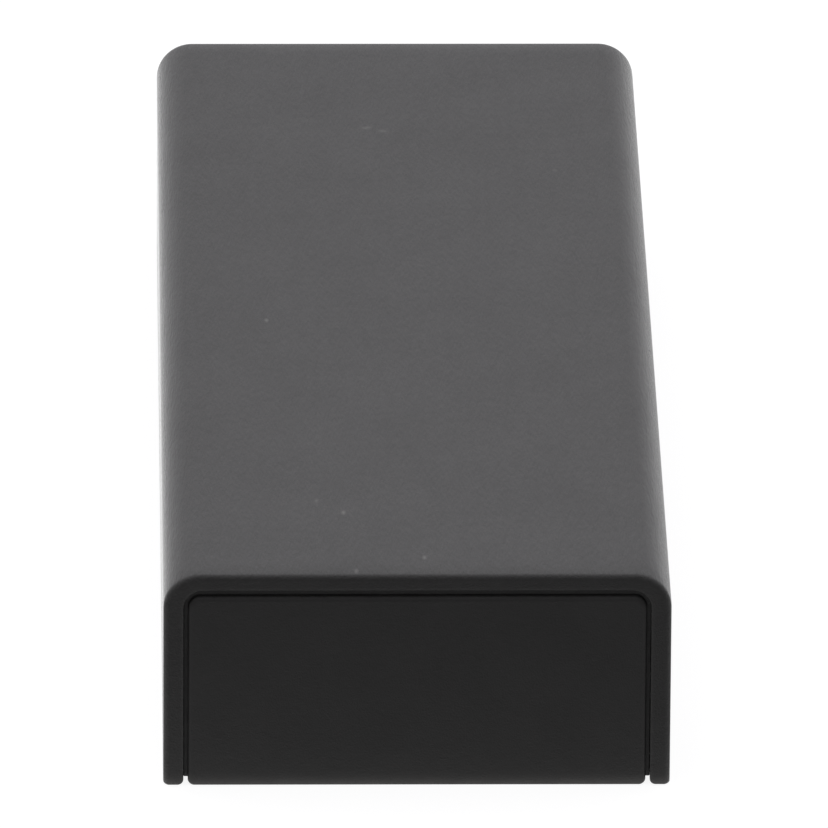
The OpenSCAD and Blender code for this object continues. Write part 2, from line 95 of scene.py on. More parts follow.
# %% [markdown]
# ## Outlines
# Nearly every piece is a flat outline carried along a straight line: the sleeve, the tray, both connector
# shells. So the first helpers draw outlines as lists of points, in millimetres. Rounded corners are short
# runs of points on an arc, and an outline moved in along its own normals gives the rounding of an end edge.

# %% Outline helpers
def arc(centre, radius, start, end, steps):
    """Points on an arc, with its angles in degrees and both ends included."""
    angles = np.radians(np.linspace(start, end, steps + 1))
    return np.column_stack([centre[0] + radius * np.cos(angles), centre[1] + radius * np.sin(angles)])


def inset(outline, distance):
    """A closed, counter-clockwise outline moved inwards along its normals."""
    edges = np.roll(outline, -1, 0) - outline
    normals = np.column_stack([edges[:, 1], -edges[:, 0]])
    normals /= np.linalg.norm(normals, axis=1)[:, None]
    before = np.roll(normals, 1, 0)
    mitres = (before + normals) / (1 + (before * normals).sum(1))[:, None]
    return outline - distance * mitres


def soft_rectangle(low, high, low_r, high_r, steps=6):
    """A rectangle with one radius for its low corners and one for its high ones."""
    (x0, y0), (x1, y1) = low, high
    return np.vstack([arc((x0 + low_r, y0 + low_r), low_r, 180, 270, steps),
                      arc((x1 - low_r, y0 + low_r), low_r, 270, 360, steps),
                      arc((x1 - high_r, y1 - high_r), high_r, 0, 90, steps),
                      arc((x0 + high_r, y1 - high_r), high_r, 90, 180, steps)])


def connector_corners(centre, narrow, wide, high, knee):
    """A connector's corner centres: narrow below, slanted up to a knee and wide above it."""
    x, z = centre
    return [(x - narrow, z - high), (x + narrow, z - high), (x + wide, z + knee),
            (x + wide, z + high), (x - wide, z + high), (x - wide, z + knee)]


def connector_outline(corners, radius, steps=8):
    """A connector's outline: an arc round each of its corner centres."""
    points = []
    for i, corner in enumerate(corners):
        come = np.subtract(corner, corners[i - 1])
        leave = np.subtract(corners[(i + 1) % len(corners)], corner)
        start = math.degrees(math.atan2(-come[0], come[1]))
        turn = (math.degrees(math.atan2(-leave[0], leave[1])) - start) % 360
        points.append(arc(corner, radius, start, start + turn, steps))
    return np.vstack(points)


print("outline helpers: arc, inset, soft_rectangle and two for connectors")

# %% [markdown]
# ## Skins
# A skin over a row of outlines is a loft. Blender could extrude and bevel each shape, but a loft keeps the
# mesh in clean rows of four-sided faces and puts the small radii exactly where the tool would leave them.
# The last helper draws a piece that is cut square at both ends, from a section that may change near them.

# %% Solids from outlines
AXES = {"x": (2, 0, 1), "y": (0, 2, 1), "z": (0, 1, 2)}
END_DEPTHS = (0, 0.005, 0.018, 0.04, 0.07, 0.11, 0.16, 0.23, 0.32, 0.5, 0.7, 1.0, 1.4, 1.9, 2.4)


def place(outline, axis, level):
    """An outline set across an axis at a level, as points in space."""
    points = np.column_stack([outline, np.full(len(outline), level)])
    return points[:, AXES[axis]]


def loft(rings, cap="face"):
    """Points and faces of a skin over rings. Its ends are one face, a strip across a wall, or a loop."""
    count, size = len(rings), len(rings[0])
    faces = []
    for r in range(count if cap == "loop" else count - 1):
        near, far = r * size, (r + 1) % count * size
        faces += [(near + i, near + (i + 1) % size, far + (i + 1) % size, far + i) for i in range(size)]
    for first in (0, (count - 1) * size):
        if cap == "face":
            faces.append(tuple(range(first, first + size)))
        if cap == "strip":
            last = first + size - 1
            faces += [(first + i, first + i + 1, last - i - 1, last - i) for i in range(size // 2 - 1)]
    return np.vstack(rings), faces


def bar(outline, axis, start, end, edge_r, cap="face", steps=4):
    """An outline carried along an axis, with its end edges rounded."""
    near, far = [], []
    for angle in np.linspace(0, math.pi / 2, steps + 1):
        ring, depth = inset(outline, edge_r * (1 - math.sin(angle))), edge_r * (1 - math.cos(angle))
        near.append(place(ring, axis, start + depth))
        far.insert(0, place(ring, axis, end - depth))
    return loft(near + far, cap)


def draw_in(depth, radius):
    """How far an end edge of a radius has drawn its face in, at a depth behind the end."""
    return radius - math.sqrt(radius ** 2 - max(radius - depth, 0.0) ** 2)


def square_cut(section, half, cap="face", lean=0.0):
    """A skin along y from a section for each depth behind an end. A lean tips the ends back with height."""
    near = [place(section(depth), "y", depth - half) for depth in END_DEPTHS]
    near = [ring + np.outer(ring[:, 2], (0, lean, 0)) for ring in near]
    far = [ring * (1, -1, 1) for ring in reversed(near)]
    return loft(near + far, cap)


print("solids: loft, bar, square_cut with", len(END_DEPTHS), "sections at each end")

# %% [markdown]
# ## Blocks and turned solids
# Ribs, arms and soldering tabs are blocks, and posts and pegs are turned. Both are lofts again: a block is a
# soft rectangle carried upwards, and a turned solid is a circle that changes its radius from level to level.

# %% Blocks and turned solids
def block(low, high, edge_r=0.05):
    """A block with all its edges eased, the end ones a hair less, so that no face closes up."""
    outline = soft_rectangle(low[:2], high[:2], edge_r, edge_r, 3)
    return bar(outline, "z", low[2], high[2], edge_r * 0.98, steps=3)


def side_block(side, x_span, y, half, z_span, edge_r=0.05):
    """A block on the left (-1) or right (1) side of the bar, with its middle at y."""
    low_x, high_x = sorted(side * x for x in x_span)
    return block((low_x, y - half, z_span[0]), (high_x, y + half, z_span[1]), edge_r)


def turned(centre, profile, sides=40):
    """A solid turned about an upright axis, from radius and height pairs."""
    circle = arc((0, 0), 1, 0, 360, sides)[:-1]
    return loft([place(circle * radius + centre, "z", z) for radius, z in profile])


print("solids: block, side_block, turned")

# %% [markdown]
# ## From points to pieces
# The next helpers turn points into Blender objects and finish them. Posts are joined and windows are cut
# with Blender's manifold boolean, which keeps every piece closed. Sharp edges are marked by angle, and
# weighted normals keep every broad face flat in the light while the fine roundings between them stay soft.

# %% Object helpers
SHARP_ANGLE = math.radians(38)
SAME_POINT, NO_LENGTH = 1e-7, 1e-8


def make(name, *solids):
    """One mesh object from one or more separate solids given in millimetres."""
    points, faces, first = [], [], 0
    for solid_points, solid_faces in solids:
        points.append(solid_points * MM)
        faces += [tuple(first + i for i in face) for face in solid_faces]
        first += len(solid_points)
    mesh = bpy.data.meshes.new(name)
    mesh.from_pydata(np.vstack(points).tolist(), [], faces)
    skin = bmesh.new()
    skin.from_mesh(mesh)
    bmesh.ops.remove_doubles(skin, verts=skin.verts, dist=SAME_POINT)
    bmesh.ops.dissolve_degenerate(skin, edges=skin.edges, dist=NO_LENGTH)
    bmesh.ops.recalc_face_normals(skin, faces=skin.faces)
    skin.to_mesh(mesh)
    skin.free()
    piece = bpy.data.objects.new(name, mesh)
    bpy.context.scene.collection.objects.link(piece)
    return piece


def combine(piece, operation, *solids):
    """Joins solids to a piece or cuts them out of it, and keeps the result as plain mesh."""
    tool = make("tool", *solids)
    cut = piece.modifiers.new("cut", "BOOLEAN")
    cut.operation, cut.object, cut.solver = operation, tool, "MANIFOLD"
    evaluated = piece.evaluated_get(bpy.context.evaluated_depsgraph_get())
    mesh = bpy.data.meshes.new_from_object(evaluated)
    piece.modifiers.clear()
    old, piece.data = piece.data, mesh
    bpy.data.meshes.remove(old)
    bpy.data.meshes.remove(tool.data)


def open_edges(piece):
    """How many edges of a piece don't join exactly two faces."""
    skin = bmesh.new()
    skin.from_mesh(piece.data)
    loose = sum(not edge.is_manifold for edge in skin.edges)
    skin.free()
    return loose


def install(piece, node, slot):
    """Shades a finished piece and puts it in the place of its CAD node."""
    piece.data.shade_smooth()
    piece.data.set_sharp_from_angle(angle=SHARP_ANGLE)
    piece.modifiers.new("weighted normals", "WEIGHTED_NORMAL").keep_sharp = True
    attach(piece, "root")
    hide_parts(node)
    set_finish(piece, slot)
    print(piece.name, "faces:", len(piece.data.polygons), "open edges:", open_edges(piece))


print("object helpers: make, combine, open_edges, install")

# %% [markdown]
# ## The cover
# The cover is one moulded sleeve with an arch for a cross-section: flat top, two round long edges and two
# straight legs whose feet are rounded too. Its ends are cut square, so they show the wall's thickness. The
# arch is drawn outside and inside with the same number of points, and the end face is a strip between them.
# Near an end each face is drawn in by its own radius, and the top falls a little as well.

# %% Cover skin
def box_mm(node):
    """The low and the high corner of a node's box, in millimetres."""
    return [np.array(corner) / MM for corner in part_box(node)]


half_w, half_len, top_z = box_mm("top_cover")[1]
side_wall, top_wall = 1.2, 1.01
inner_half_w, inner_top = half_w - side_wall, top_z - top_wall
long_edge_r, inner_edge_r = 2.25, 1.15
foot_r, toe_r, foot_end_r = 0.15, 0.35, 0.1
end_leg_r, end_top_r, inner_leg_r, inner_top_r = 0.42, 0.3, 0.04, 0.08
top_fall, fall_reach = 0.12, 2.4


def arch(half, top, radius, toe, toe_x, toe_turn, lift):
    """One face of the sleeve's wall, from the left foot over the top to the right foot."""
    foot = arc((-toe_x, toe + lift), toe, 270, 270 + toe_turn, 6)
    shoulder = arc((radius - half, top - radius), radius, 180, 90, 20)
    left = np.vstack([foot, shoulder])
    return np.vstack([left, left[::-1] * (-1, 1)])


def sleeve(depth):
    """The sleeve's wall at a depth behind its end: inner face, then outer face back to the start."""
    lift = draw_in(depth, foot_end_r)
    fall = top_fall * (1 - math.sqrt(1 - max(1 - depth / fall_reach, 0.0) ** 2))
    side, top = draw_in(depth, end_leg_r), draw_in(depth, end_top_r) + fall
    outside = arch(half_w - side, top_z - top, long_edge_r - (side + top) / 2, foot_r,
                   half_w - side - foot_r, -90, lift)
    side, top = draw_in(depth, inner_leg_r), draw_in(depth, inner_top_r)
    inside = arch(inner_half_w + side, inner_top + top, inner_edge_r + (side + top) / 2, toe_r,
                  inner_half_w + side + toe_r, 90, lift)
    return np.vstack([inside, outside[::-1]])


cover = make("cover", square_cut(sleeve, half_len, "strip"))
print("cover skin:", len(sleeve(0)), "points round the wall, open edges:", open_edges(cover))

# %% [markdown]
# ## Inside the cover
# Four hollow posts press on the circuit board, four pegs and three ribs hold the upper heat plate, and six
# shallow pockets catch the tray's snap arms. None of this shows on a closed stick. It is joined to the
# sleeve all the same, because the mesh is also used on its own.

# %% Cover posts, ribs and pockets
def heights(node):
    """The lowest and the highest level of a node, in millimetres."""
    low, high = box_mm(node)
    return low[2], high[2]


board_low, board_top = heights("main_board")
plate_low, plate_top = heights("upper_heat_spreader")
both = (-1, 1)
overlap = 0.5
sunk = inner_top + overlap
post_x, post_rows = 10.7, (-31.5, 29.5)
peg_r, peg_hole_r = 0.8, 0.9
peg_x, peg_rows, peg_stand = 9, (-19, 23.5), 0.4
rib_half_w, rib_half, rib_rows = 8, 0.4, (-14, 3, 20)
snap_rows = (-27, 1, 27)
pocket_x, pocket_half, pocket_z = (13, inner_half_w + 0.4), 3.3, (7.15, 8.85)


def board_post(centre):
    """A hollow post that stands on the board and takes one of the tray's pegs."""
    post_r, hole_top, ease = 1.5, board_top + 2, 0.12
    return turned(centre, [(0, hole_top), (peg_hole_r, hole_top), (peg_hole_r, board_top + ease),
                           (peg_hole_r + ease, board_top), (post_r - ease, board_top),
                           (post_r, board_top + ease), (post_r, sunk), (0, sunk)])


def heat_peg(centre, root, tip):
    """A peg with an eased tip that goes through a heat plate, from its root in a wall up or down."""
    ease = math.copysign(0.15, root - tip)
    rings = [(0, root), (peg_r, root), (peg_r, tip + ease), (peg_r - abs(ease), tip), (0, tip)]
    return turned(centre, rings if tip > root else rings[::-1])


def rib(y, low, high):
    """A rib across the bar that backs a heat plate."""
    return block((-rib_half_w, y - rib_half, low), (rib_half_w, y + rib_half, high))


combine(cover, "UNION", *[board_post((s * post_x, y)) for s in both for y in post_rows],
        *[heat_peg((s * peg_x, y), sunk, plate_low - peg_stand) for s in both for y in peg_rows],
        *[rib(y, plate_top, sunk) for y in rib_rows])
combine(cover, "DIFFERENCE",
        *[side_block(s, pocket_x, y, pocket_half, pocket_z) for s in both for y in snap_rows])
print("cover: 4 posts, 4 pegs, 3 ribs, 6 pockets, open edges:", open_edges(cover))

# %% [markdown]
# ## The socket's cut-out
# The power socket sits behind a hole in one leg of the sleeve. The hole follows the socket's own outline
# and its outer rim is rounded, so that a plug finds its way in. A cutter that flares at its outer end makes
# hole and rim in one cut.

# %% Cover cut-out
socket_low, socket_high = box_mm("power_socket_shell")
socket_y, socket_z = (socket_low[1] + socket_high[1]) / 2, top_z / 2
socket_corners = connector_corners((socket_y, socket_z), narrow=2.4, wide=3.25, high=0.725, knee=0.025)
cutout_r, rim_r = 1.0, 0.25
cutter_past = 1


def flared_cutter(corners, radius, axis, start, face, flare):
    """A cutter of a connector's outline that widens by a quarter round where it leaves a face."""
    rings = [(radius, start)]
    for angle in np.linspace(0, math.pi / 2, 7):
        rings.append((radius + flare * (1 - math.cos(angle)), face - flare + flare * math.sin(angle)))
    rings.append((radius + flare, face + cutter_past))
    return loft([place(connector_outline(corners, r), axis, level) for r, level in rings])


combine(cover, "DIFFERENCE",
        flared_cutter(socket_corners, cutout_r, "x", inner_half_w - overlap, half_w, rim_r))
install(cover, "top_cover", "cover_plastic")

# %% [markdown]
# ## The tray
# The tray is the other half of the housing: a floor, a low rim along each side and two end walls that close
# the sleeve. A thin lip behind each end wall centres the sleeve, which leaves an even shadow gap round the
# wall. The walls lean in by a hair, the draft that lets the part out of its mould. The tray starts as one
# solid bar with soft end edges and is then hollowed out, which is less work than joining floor and walls.

# %% Tray skin
side_gap, top_gap, groove_depth, lip_fit = 0.25, 0.37, 0.4, 0.002
tray_half_w, tray_top = inner_half_w - side_gap, inner_top - top_gap
tray_shoulder_r, wall_side_r, wall_top_r = 0.75, 0.2, 0.4
wall_draft = 0.006
lip_half_w, lip_top, lip_low = inner_half_w - lip_fit, inner_top - lip_fit, 0.4
lip_shoulder_r, lip_low_r, lip_end_r = inner_edge_r - lip_fit, 0.06, 0.05
end_plate, end_inside = half_len - groove_depth, half_len - 1.8
rim_inside, rim_top, floor_top = tray_half_w - 0.9, 2.6, 1.2
hollow_r, rim_cut_r = 0.2, 0.02


def tray_section(depth):
    """The tray's outline at a depth behind its end."""
    half = tray_half_w - draw_in(depth, wall_side_r)
    top = tray_top - draw_in(depth, wall_top_r)
    return soft_rectangle((-half, draw_in(depth, foot_end_r)), (half, top), toe_r, tray_shoulder_r, 8)


lip = soft_rectangle((-lip_half_w, lip_low), (lip_half_w, lip_top), lip_low_r, lip_shoulder_r, 8)
lip_spans = [sorted((s * end_inside, s * end_plate)) for s in both]
above = top_z + 1
tray = make("tray", square_cut(tray_section, half_len, lean=wall_draft))
combine(tray, "UNION", *[bar(lip, "y", start, end, lip_end_r) for start, end in lip_spans])
combine(tray, "DIFFERENCE",
        block((-rim_inside, -end_inside, floor_top), (rim_inside, end_inside, above), hollow_r))
combine(tray, "DIFFERENCE", block((-half_w, -end_inside, rim_top), (half_w, end_inside, above), rim_cut_r))
print("tray skin: end walls", round(2 * tray_half_w, 2), "mm wide, gaps", side_gap, "and", top_gap)

# %% [markdown]
# ## What the tray carries
# Six springy arms stand on the rim, each with a wedge that clicks into a pocket of the cover. Four stepped
# posts carry the circuit board, and four pegs with three ribs hold the lower heat plate. They start a little
# below the floor's face, so that each boolean meets solid plastic. The far end wall gets the plug's hole,
# with room for the foam ring and a round rim, so the socket's flared cutter serves again.

# %% Tray arms, posts and plug hole
lower_low, lower_top = heights("lower_heat_spreader")
under = floor_top - 0.3
arm_top, arm_half, arm_r = 8.8, 3.0, 0.08
wedge_low, wedge_top, wedge_reach, wedge_root, wedge_r = 7.2, 8.6, 0.55, 0.3, 0.04
lower_peg_x, lower_peg_rows, lower_rib_rows = 8.6, (-16, 20), (-12, 2, 16)
wedge = np.array([(-wedge_root, wedge_low), (wedge_reach, wedge_low), (0, wedge_top),
                  (-wedge_root, wedge_top)]) + (tray_half_w, 0)


def snap_wedge(side, y):
    """The wedge on the outer face of a snap arm."""
    outline = wedge if side > 0 else wedge[::-1] * (-1, 1)
    return bar(outline, "y", y - arm_half, y + arm_half, wedge_r, steps=2)


def standoff(centre):
    """A post for the board with a peg through the board's hole."""
    post_r, peg_top, ease = 1.6, board_top + 1, 0.15
    return turned(centre, [(0, under), (post_r, under), (post_r, board_low - ease),
                           (post_r - ease, board_low), (peg_r, board_low), (peg_r, peg_top - ease),
                           (peg_r - ease, peg_top), (0, peg_top)])


arm_places = [(s, y) for s in both for y in snap_rows]
combine(tray, "UNION", *[side_block(s, (rim_inside, tray_half_w), y, arm_half, (under, arm_top), arm_r)
                         for s, y in arm_places])
combine(tray, "UNION", *[snap_wedge(s, y) for s, y in arm_places])
combine(tray, "UNION", *[standoff((s * post_x, y)) for s in both for y in post_rows],
        *[heat_peg((s * lower_peg_x, y), under, lower_top + peg_stand) for s in both for y in lower_peg_rows],
        *[rib(y, under, lower_low) for y in lower_rib_rows])
print("tray: 6 arms, 4 posts, 4 pegs, 3 ribs, open edges:", open_edges(tray))

plug_z, plug_half_high = top_z / 2, 1.625
plug_corners = connector_corners((0, plug_z), narrow=4.95, wide=6.35, high=plug_half_high, knee=0.075)
plug_r, plug_sheet = 0.6, 0.3
hole_clear, hole_rim_r = 0.2, 0.2
combine(tray, "DIFFERENCE", flared_cutter(plug_corners, plug_r + hole_clear, "y", end_inside - cutter_past,
                                          half_len, hole_rim_r))
install(tray, "bottom_tray", "tray_plastic")

# %% [markdown]
# ## The display plug's shell
# The shell is one strip of sheet folded round the insert. Its wall is a loop in cross-section: out along the
# outer face, round the rolled mouth and back along the inner face. Carried round the connector's outline, the
# loop keeps the sheet equally thick, which a solidify modifier wouldn't do at the mouth.

# %% Plug shell
plug_low, plug_high = box_mm("plug_shell")
plug_back, plug_tip = plug_low[1], plug_high[1]
mouth_r = plug_sheet / 2


def sheet_tube(corners, path, axis):
    """A folded sheet: a closed path of outline radius and level, carried round a connector's corners."""
    return loft([place(connector_outline(corners, r, 10), axis, level) for r, level in path], "loop")


plug_path = np.vstack([[(plug_r, plug_back)],
                       arc((plug_r - mouth_r, plug_tip - mouth_r), mouth_r, 0, 180, 8),
                       [(plug_r - plug_sheet, plug_back)]])
plug_shell = make("display_plug_shell", sheet_tube(plug_corners, plug_path, "y"))
print("plug shell: mouth at", round(plug_tip, 2), "mm, open edges:", open_edges(plug_shell))

# %% [markdown]
# ## Windows, seam and wings
# The press punches four windows into the sheet for the display's springs, and the folded edges meet in a
# dovetail seam underneath. The windows go right through, while the seam is only a groove, because its edges
# touch. Two wings with a leg each solder the shell to the board.

# %% Plug windows, seam and wings
window_y, window_half, window_r, window_edge_r, window_reach = plug_tip - 5.2, 1.15, 0.22, 0.02, 3
upper_x, upper_half, lower_x, lower_half = 3.5, 0.95, 2.7, 0.75
seam_w, seam_depth, seam_past = 0.06, 0.14, 0.2
plug_low_face = plug_z - plug_half_high - plug_r
dovetail = [(0, plug_back - 1), (0, 44.9), (0.05, 45.0), (0.6, 44.8), (0.7, 44.9),
            (0.7, 47.0), (0.6, 47.1), (0.05, 46.9), (0, 47.0), (0, plug_tip + 1)]
wing_x, wing_y, wing_half = (6.65, 9.15), half_len - 4.6, 1.2
leg_x, leg_half, leg_end = (8.25, 8.55), 0.5, board_low - 0.3
wing_top, wing_r = board_top + plug_sheet, 0.1


def window(centre, half, low, high):
    """A cutter for one window with round corners."""
    outline = soft_rectangle((centre - half, window_y - window_half),
                             (centre + half, window_y + window_half), window_r, window_r)
    return bar(outline, "z", low, high, window_edge_r, steps=1)


def seam(points):
    """A narrow cutter that follows the seam's line along the underside of the shell."""
    line = np.array(points, float)
    ahead = np.gradient(line, axis=0)
    across = np.column_stack([ahead[:, 1], -ahead[:, 0]])
    across *= seam_w / 2 / np.linalg.norm(across, axis=1)[:, None]
    outline = np.vstack([line + across, (line - across)[::-1]])
    return loft([place(outline, "z", z) for z in (plug_low_face - seam_past, plug_low_face + seam_depth)])


combine(plug_shell, "DIFFERENCE",
        *[window(s * upper_x, upper_half, plug_z, plug_z + window_reach) for s in both],
        *[window(s * lower_x, lower_half, plug_z - window_reach, plug_z) for s in both])
combine(plug_shell, "DIFFERENCE", seam(dovetail))
for s in both:
    combine(plug_shell, "UNION", side_block(s, wing_x, wing_y, wing_half, (board_top, wing_top), wing_r))
    combine(plug_shell, "UNION", side_block(s, leg_x, wing_y, leg_half, (leg_end, wing_top), wing_r))
install(plug_shell, "plug_shell", "plug_steel")

# %% [markdown]
# ## The power socket's shell
# This shell is drawn from thinner sheet and its mouth is turned out into a lip, which guides the lead's plug
# and fills the cover's cut-out. The same kind of loop makes it, with the lip as a bend of the path.

# %% Socket shell
socket_r, socket_sheet = 0.45, 0.25
socket_back, socket_mouth = socket_low[0], socket_high[0]
lip_reach, bend_r, tip_r = 0.35, 0.2, socket_sheet / 2
bend = (socket_r + bend_r, socket_mouth - socket_sheet - bend_r)
lip_tip = (socket_r + lip_reach - tip_r, socket_mouth - tip_r)
tab_x, tab_top = socket_mouth - 3.6, board_top + socket_sheet
tab_reach, tab_half, tab_r = 4.3, (0.8, 0.85), 0.08
pin_reach, pin_half, pin_r = 4.5, (0.5, 0.15), 0.07


def tab(y, half, low, edge_r):
    """A tab of the socket's sheet, from a level up to the sheet's top on the board."""
    return block((tab_x - half[0], y - half[1], low), (tab_x + half[0], y + half[1], tab_top), edge_r)


socket_path = np.vstack([[(socket_r, socket_back)], arc(bend, bend_r, 180, 90, 6),
                         arc(lip_tip, tip_r, -90, 90, 8), arc(bend, bend_r + socket_sheet, 90, 180, 8),
                         [(socket_r - socket_sheet, socket_back)]])
socket_shell = make("power_socket_can", sheet_tube(socket_corners, socket_path, "x"))
for s in both:
    combine(socket_shell, "UNION", tab(socket_y + s * tab_reach, tab_half, board_top, tab_r))
    combine(socket_shell, "UNION", tab(socket_y + s * pin_reach, pin_half, leg_end, pin_r))
install(socket_shell, "power_socket_shell", "socket_steel")

# %% [markdown]
# ## Easing the pieces that stay
# The remaining nodes have the right shape already: contacts, chips, shield cans, pads and plates. Real
# stamped and moulded edges are never razor sharp, so each of them gets a weld, a narrow bevel and weighted
# normals as modifiers. The CAD mesh underneath isn't touched.

# %% Ease the carried-over nodes
EASE_MM = {"plug_insulator": 0.05, "plug_gasket": 0.1, "power_socket_tongue": 0.06,
           "power_socket_contacts": 0.02, "main_board": 0.06, "upper_heat_spreader": 0.12,
           "lower_heat_spreader": 0.12, "chip_capacitors": 0.06, "surge_arrays": 0.05}
EASE_USUAL_MM, EASE_ANGLE = 0.04, math.radians(40)
replaced = {"top_cover", "bottom_tray", "plug_shell", "power_socket_shell"}
kept_nodes = sorted(set(nodes) - replaced)
for name in kept_nodes:
    weld = nodes[name].modifiers.new("weld", "WELD")
    weld.merge_threshold = SAME_POINT
    ease = nodes[name].modifiers.new("ease", "BEVEL")
    ease.width = EASE_MM.get(name, EASE_USUAL_MM) * MM
    ease.segments = 2
    ease.limit_method, ease.angle_limit = "ANGLE", EASE_ANGLE
    nodes[name].modifiers.new("weighted normals", "WEIGHTED_NORMAL").keep_sharp = True
print("eased nodes:", len(kept_nodes))

# %% [markdown]
# ## Nodes in short lines
# A shader tree is easier to read as short steps than as a wall of links. One helper adds a node and fills
# its inputs, with plain values or with other nodes' outputs. An output knows its tree, so the tree is named
# only for nodes that take none. The other helpers are the kinds of node that come up most.

# %% Node helpers
def fill(node, sockets):
    """Fills a node's inputs, by name or number, with values or other nodes' outputs."""
    for key, value in sockets.items():
        if isinstance(value, bpy.types.NodeSocket):
            node.id_data.links.new(value, node.inputs[key])
        else:
            node.inputs[key].default_value = value


def step(kind, sockets, tree=None, **options):
    """Adds one node with its options and inputs, and gives its outputs."""
    tree = tree or next(v.id_data for v in sockets.values() if isinstance(v, bpy.types.NodeSocket))
    node = tree.nodes.new("ShaderNode" + kind)
    for option, value in options.items():
        setattr(node, option, value)
    fill(node, sockets)
    return node.outputs


def noise(where, scale, detail, rough=0.5):
    """The value of a noise texture."""
    return step("TexNoise", {"Vector": where, "Scale": scale, "Detail": detail, "Roughness": rough})[0]


def calc(operation, *values, clamp=False):
    """The result of a sum on one to three values."""
    return step("Math", dict(enumerate(values)), operation=operation, use_clamp=clamp)[0]


def remap(value, low, high, to_low=0.0, to_high=1.0, soft=False):
    """Carries a value from one range onto another, in a soft curve if asked."""
    sockets = {"Value": value, "From Min": low, "From Max": high, "To Min": to_low, "To Max": to_high}
    return step("MapRange", sockets, interpolation_type="SMOOTHSTEP" if soft else "LINEAR")[0]


def blend(share, low, high):
    """Blends two values by a share."""
    return step("Mix", {0: share, 2: low, 3: high}, data_type="FLOAT")[0]


def mix_colors(mask, low, high):
    """Blends two colours, or colour sockets, by a mask."""
    return step("Mix", {0: mask, 6: low, 7: high}, data_type="RGBA")[2]


print("node helpers: fill, step, noise, calc, remap, blend, mix_colors")

# %% [markdown]
# ## Grain and mottling
# Grain, mottling, wear, dust, scuffs and rolled lines turn up on many of these materials, so each is a node
# group, built once and placed with its own values. Spark erosion leaves a mould pitted like very fine sand:
# one noise makes the pits and a coarser one makes them uneven. The grain can be drawn out, because a low
# camera squeezes an even one into lines. Mottling keeps a plain black from looking like flat paint.

# %% Grain and tone groups
UNIT, BLACK = (1.0, 1.0, 1.0), (0.0, 0.0, 0.0, 1.0)
MIDDLE = (0.3, 0.7)  # most of a noise's values lie in this range
COARSE_SCALE, BROAD_SCALE = 0.3, 0.02
COARSE_HEIGHT, COARSE_SHEEN = 0.35, 0.45


def new_group(name, build, **inputs):
    """A shader group from a function that turns a place and named values into named results."""
    tree = bpy.data.node_groups.new(name, "ShaderNodeTree")
    for socket, value in {"Vector": (0.0, 0.0, 0.0), **inputs}.items():
        kind = "Float" if isinstance(value, float) else "Color" if len(value) == 4 else "Vector"
        made = tree.interface.new_socket(socket, in_out="INPUT", socket_type="NodeSocket" + kind)
        made.default_value = value
    results = build(*tree.nodes.new("NodeGroupInput").outputs[:len(inputs) + 1])
    for socket in results:
        kind = "Color" if socket == "Color" else "Float"
        tree.interface.new_socket(socket, in_out="OUTPUT", socket_type="NodeSocket" + kind)
    fill(tree.nodes.new("NodeGroupOutput"), results)
    print("group:", name, "puts out", ", ".join(results))
    return tree


def moulded_grain(where, stretch, scale):
    """Fine pits that a coarser noise makes uneven, and a slow change of sheen."""
    drawn = step("Mapping", {"Vector": where, "Scale": stretch})[0]
    pits = noise(drawn, scale, 3.0, 0.65)
    coarse = noise(drawn, calc("MULTIPLY", scale, COARSE_SCALE), 2.0)
    broad = noise(where, calc("MULTIPLY", scale, BROAD_SCALE), 4.0)
    return {"Height": blend(COARSE_HEIGHT, pits, coarse), "Sheen": blend(COARSE_SHEEN, broad, coarse)}


def uneven_tone(where, scale, dark, light):
    """Two close colours in cloudy patches."""
    spread = remap(noise(where, scale, 5.0, 0.6), *MIDDLE)
    return {"Color": mix_colors(spread, dark, light), "Value": spread}


grain_group = new_group("moulded grain", moulded_grain, Stretch=UNIT, Scale=9000.0)
tone_group = new_group("uneven tone", uneven_tone, Scale=300.0, Dark=BLACK, Light=BLACK)

# %% [markdown]
# ## Worn edges and a painted floor glow
# Handling polishes the corners first, so the wear group compares the true normal with one that is averaged
# over a small radius: they differ only near an edge. The floor glow group is painted light, a paler band that
# grows close to the floor where the feet mirror the white card. A noise breaks both up; wear is never even.

# %% Worn edge and painted floor glow groups
CHIP_SCALE, CHIP_RANGE, CHIP_LEAST = 1800.0, (0.35, 0.65), 0.5
GLOW_SCALE, GLOW_POWER, GLOW_LEAST = 900.0, 3.0, 0.75


def worn_edge(where, radius, gain):
    """A mask along edges, broken up by small chips."""
    averaged = step("Bevel", {"Radius": radius}, samples=6)[0]
    surface = step("NewGeometry", {}, where.id_data)["Normal"]
    match = step("VectorMath", {0: averaged, 1: surface}, operation="DOT_PRODUCT")["Value"]
    raised = calc("MULTIPLY", calc("SUBTRACT", 1.0, match), gain, clamp=True)
    return {"Mask": calc("MULTIPLY", raised, remap(noise(where, CHIP_SCALE, 3.0), *CHIP_RANGE, CHIP_LEAST))}


def painted_floor_glow(where, reach):
    """A patchy mask of painted floor glow that fades out upwards from the floor."""
    height = step("SeparateXYZ", {0: where})["Z"]
    glow_fade = calc("POWER", remap(height, 0.0, reach, 1.0, 0.0), GLOW_POWER)
    return {"Mask": calc("MULTIPLY", glow_fade, remap(noise(where, GLOW_SCALE, 2.0), *MIDDLE, GLOW_LEAST))}


wear_group = new_group("worn edge", worn_edge, Radius=0.0002, Gain=6.0)
floor_glow_group = new_group("painted floor glow", painted_floor_glow, Reach=0.0011)

# %% [markdown]
# ## Dust and scuffs
# Dust is a cell pattern in which only a few cells, drawn by lot, hold a speck. Scuffs are the thin lines
# where a stretched noise crosses its middle value, kept in a few patches. Painting them would take an image,
# while a pattern made from coordinates stays sharp at any size.

# %% Dust and scuff groups
SPECK_EDGE = (0.03, 0.13)
LINE_TURN, LINE_MIDDLE, LINE_HALF = (0.3, 0.2, 0.5), 0.5, 0.004
PATCH_SCALE, PATCH_RANGE = 160.0, (0.55, 0.7)


